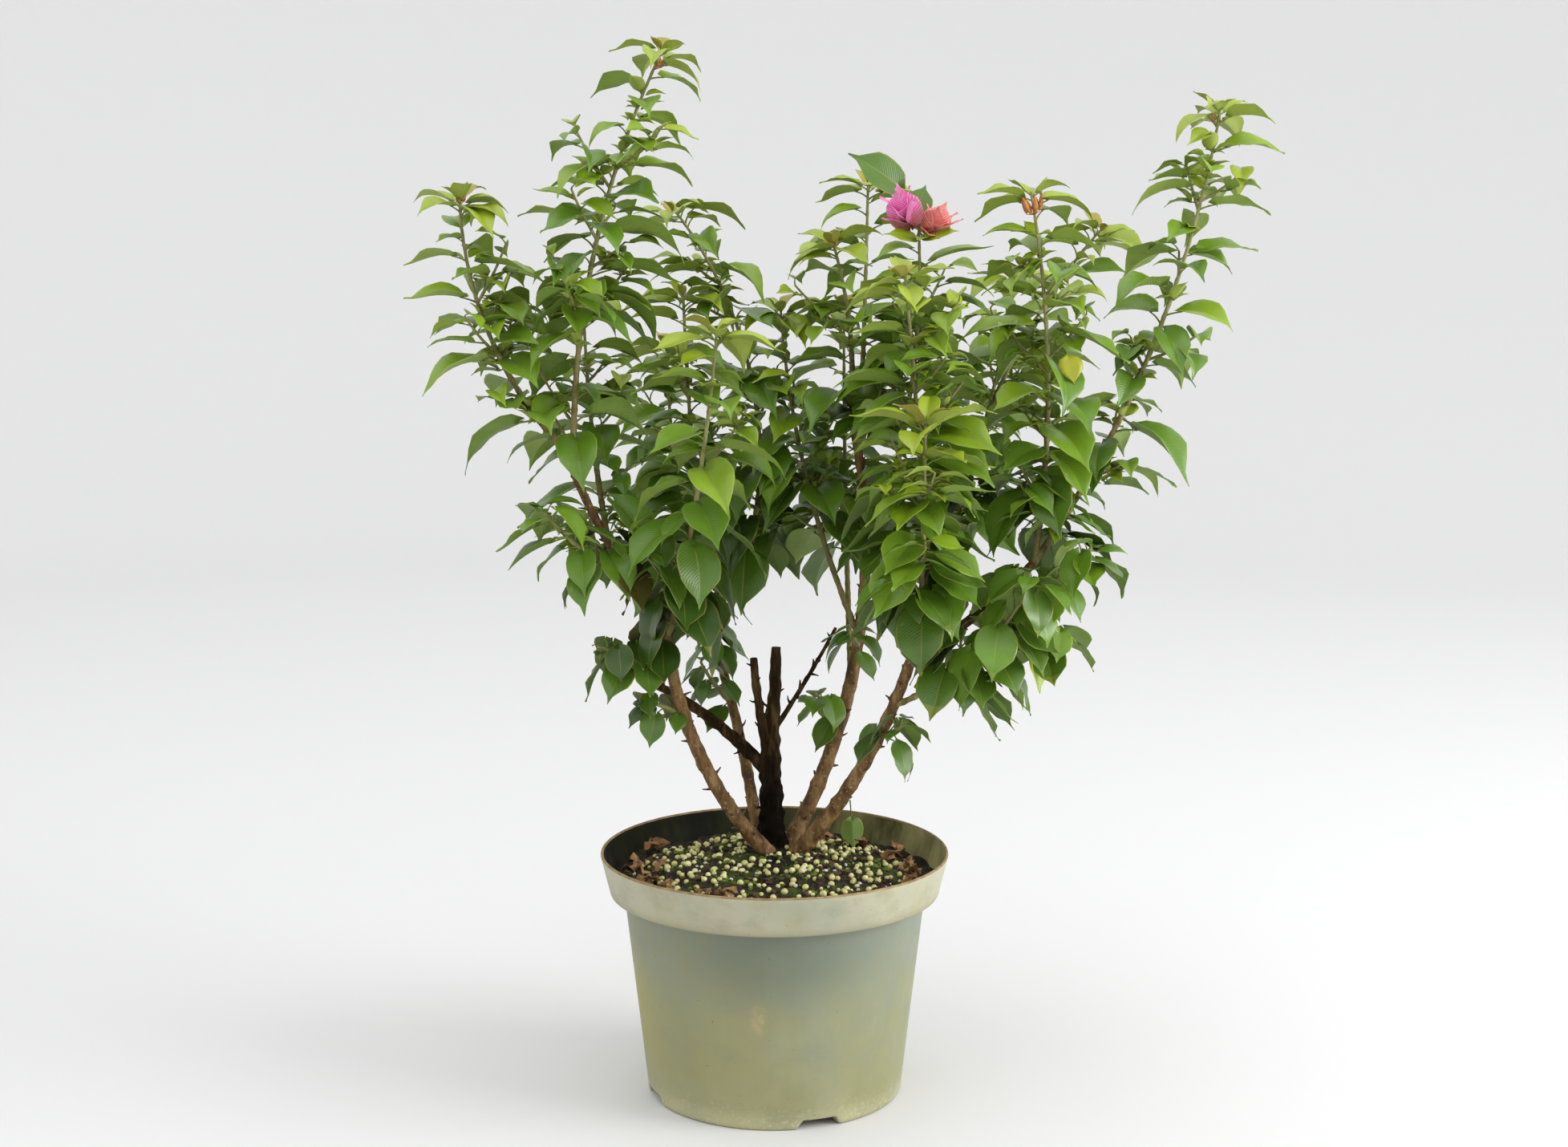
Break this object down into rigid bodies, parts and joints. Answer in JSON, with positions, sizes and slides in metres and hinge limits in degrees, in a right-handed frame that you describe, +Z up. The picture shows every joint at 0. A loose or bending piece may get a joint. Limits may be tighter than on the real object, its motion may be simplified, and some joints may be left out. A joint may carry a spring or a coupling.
{
  "type": "potted bougainvillea bush",
  "caption": "Young bougainvillea bush with upright leafy shoots and one flowering tip, standing in a round plastic nursery pot.",
  "frame": {"origin": "middle of the pot's flat underside, on the surface that the pot stands on", "axes": "+Z up, +X to the right and +Y to the back as the plant is seen from its front"},
  "size_m": [0.6255, 0.3426, 0.7681],
  "materials": {
    "pot": "weathered matte plastic",
    "potting_mix": "moist bark and peat",
    "old_wood": "rough dead wood",
    "bark": "young brown bark",
    "foliage": "satin leaf"
  },
  "bodies": {
    "root": {"pot": "pot", "potting_mix": "potting_mix", "old_trunk": "old_wood", "stub_left": "old_wood", "stub_middle": "old_wood", "old_branch": "old_wood", "dead_twig": "old_wood", "stem_left": "bark", "bough_left": "bark", "stem_back": "bark", "stem_right_inner": "bark", "stem_right_outer": "bark", "bough_right": "bark", "bough_behind": "bark", "foliage_far_left": "foliage", "foliage_tall_left": "foliage", "foliage_left_front": "foliage", "foliage_left_low": "foliage", "foliage_left_rear": "foliage", "foliage_middle_left": "foliage", "foliage_left_behind": "foliage", "foliage_middle_rear": "foliage", "foliage_middle": "foliage", "foliage_behind": "foliage", "foliage_blossom": "foliage", "foliage_middle_front": "foliage", "foliage_front_low": "foliage", "foliage_right_front": "foliage", "foliage_far_right": "foliage", "foliage_right_rear": "foliage", "foliage_low_right": "foliage", "foliage_right_low": "foliage", "foliage_rear_left": "foliage", "foliage_rear": "foliage", "foliage_rear_right": "foliage", "sprig_left": "foliage", "sprig_middle": "foliage", "sprig_right": "foliage", "sprig_inner": "foliage", "sprig_far_left": "foliage", "sprig_left_top": "foliage", "sprig_back": "foliage"}
  },
  "joints": []
}
